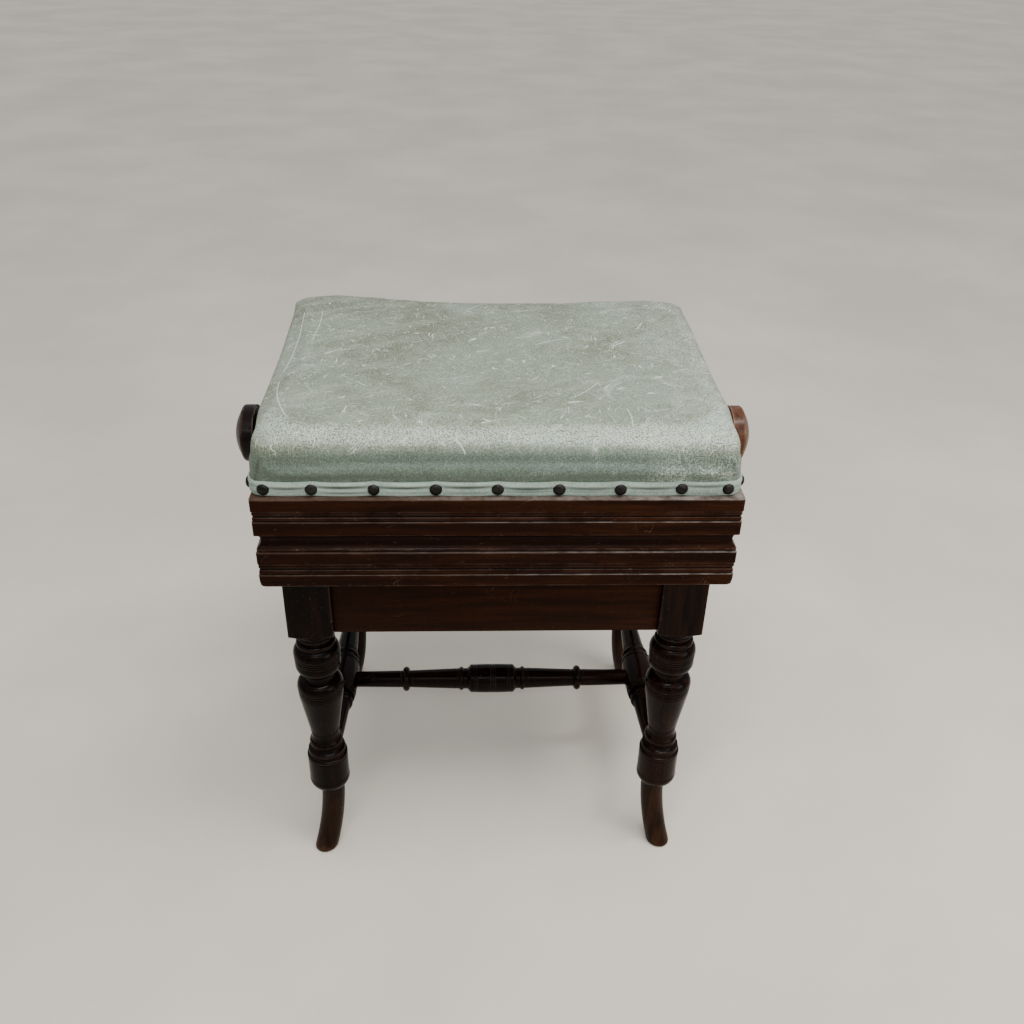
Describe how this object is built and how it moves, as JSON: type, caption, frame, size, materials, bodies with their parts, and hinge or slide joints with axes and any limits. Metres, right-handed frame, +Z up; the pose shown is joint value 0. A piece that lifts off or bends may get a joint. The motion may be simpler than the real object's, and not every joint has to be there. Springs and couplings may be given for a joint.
{
  "type": "piano stool",
  "caption": "Rectangular rise-and-fall piano stool: moulded box seat with nailed leather pad, raised by a screw and crossed arms over a turned, stretchered base.",
  "frame": {"origin": "on the floor under the middle of the seat", "axes": "+X from the left knob to the right knob, +Y from the front to the back, +Z up"},
  "size_m": [0.539, 0.358, 0.5485],
  "materials": {
    "mahogany": "waxed french polish, worn",
    "foot_wood": "worn polish",
    "knob_wood_dark": "polished",
    "knob_wood_light": "polished",
    "pine": "sawn",
    "leather": "worn sage green hide",
    "stuffing": "hair and linen",
    "nail_brass": "tarnished",
    "iron": "dull, oiled",
    "screw_steel": "turned"
  },
  "bodies": {
    "base": {"leg_front_left": "mahogany", "leg_front_right": "mahogany", "leg_back_left": "mahogany", "leg_back_right": "mahogany", "foot_front_left": "foot_wood", "foot_front_right": "foot_wood", "foot_back_left": "foot_wood", "foot_back_right": "foot_wood", "rail_front": "mahogany", "rail_back": "mahogany", "rail_left": "mahogany", "rail_right": "mahogany", "stretcher_left": "mahogany", "stretcher_right": "mahogany", "stretcher_centre": "mahogany", "pivot_rod_left": "iron", "pivot_rod_right": "iron", "rod_sleeves_left": "iron", "rod_sleeves_right": "iron"},
    "seat": {"frieze_front": "mahogany", "frieze_back": "mahogany", "frieze_left": "mahogany", "frieze_right": "mahogany", "seat_board": "pine", "glue_blocks_front": "pine", "glue_blocks_back": "pine", "glue_blocks_left": "pine", "glue_blocks_right": "pine", "seat_stuffing": "stuffing", "leather_cover": "leather", "leather_band": "leather", "dome_nails": "nail_brass", "bush_left": "iron", "bush_right": "iron"},
    "screw": {"screw_shaft": "screw_steel", "knob_left": "knob_wood_dark", "knob_right": "knob_wood_light", "knob_pins": "screw_steel"},
    "arms_left": {"arm_left_front": "iron", "arm_left_back": "iron"},
    "arms_right": {"arm_right_front": "iron", "arm_right_back": "iron"},
    "nut_left": {"nut_left": "iron", "nut_washers_left": "iron"},
    "nut_right": {"nut_right": "iron", "nut_washers_right": "iron"}
  },
  "joints": [
    {"name": "seat_rise", "type": "slide", "parent": "base", "child": "seat", "axis": [0, 0, 1], "range_m": [0, 0.07]},
    {"name": "screw_turn", "type": "hinge", "parent": "seat", "child": "screw", "pos_m": [0, 0, 0.4605], "axis": [1, 0, 0], "range_deg": [0, 3248]},
    {"name": "arms_left_swing", "type": "hinge", "parent": "base", "child": "arms_left", "pos_m": [-0.148, 0, 0.4105], "axis": [0, -1, 0], "range_deg": [0, 13.95]},
    {"name": "arms_right_swing", "type": "hinge", "parent": "base", "child": "arms_right", "pos_m": [0.148, 0, 0.4105], "axis": [0, 1, 0], "range_deg": [0, 13.95]},
    {"name": "nut_right_pivot", "type": "hinge", "parent": "arms_left", "child": "nut_right", "pos_m": [0.148, 0, 0.4605], "axis": [0, -1, 0], "range_deg": [-13.95, 0]},
    {"name": "nut_left_pivot", "type": "hinge", "parent": "arms_right", "child": "nut_left", "pos_m": [-0.148, 0, 0.4605], "axis": [0, 1, 0], "range_deg": [-13.95, 0]}
  ],
  "couplings": [
    {"joint": "screw_turn", "follows": "seat_rise", "rad_per_m": 809.83},
    {"joint": "arms_left_swing", "follows": "seat_rise", "rad_per_m": 3.4623},
    {"joint": "arms_right_swing", "follows": "seat_rise", "rad_per_m": 3.4623},
    {"joint": "nut_right_pivot", "follows": "seat_rise", "rad_per_m": -3.4623},
    {"joint": "nut_left_pivot", "follows": "seat_rise", "rad_per_m": -3.4623}
  ]
}
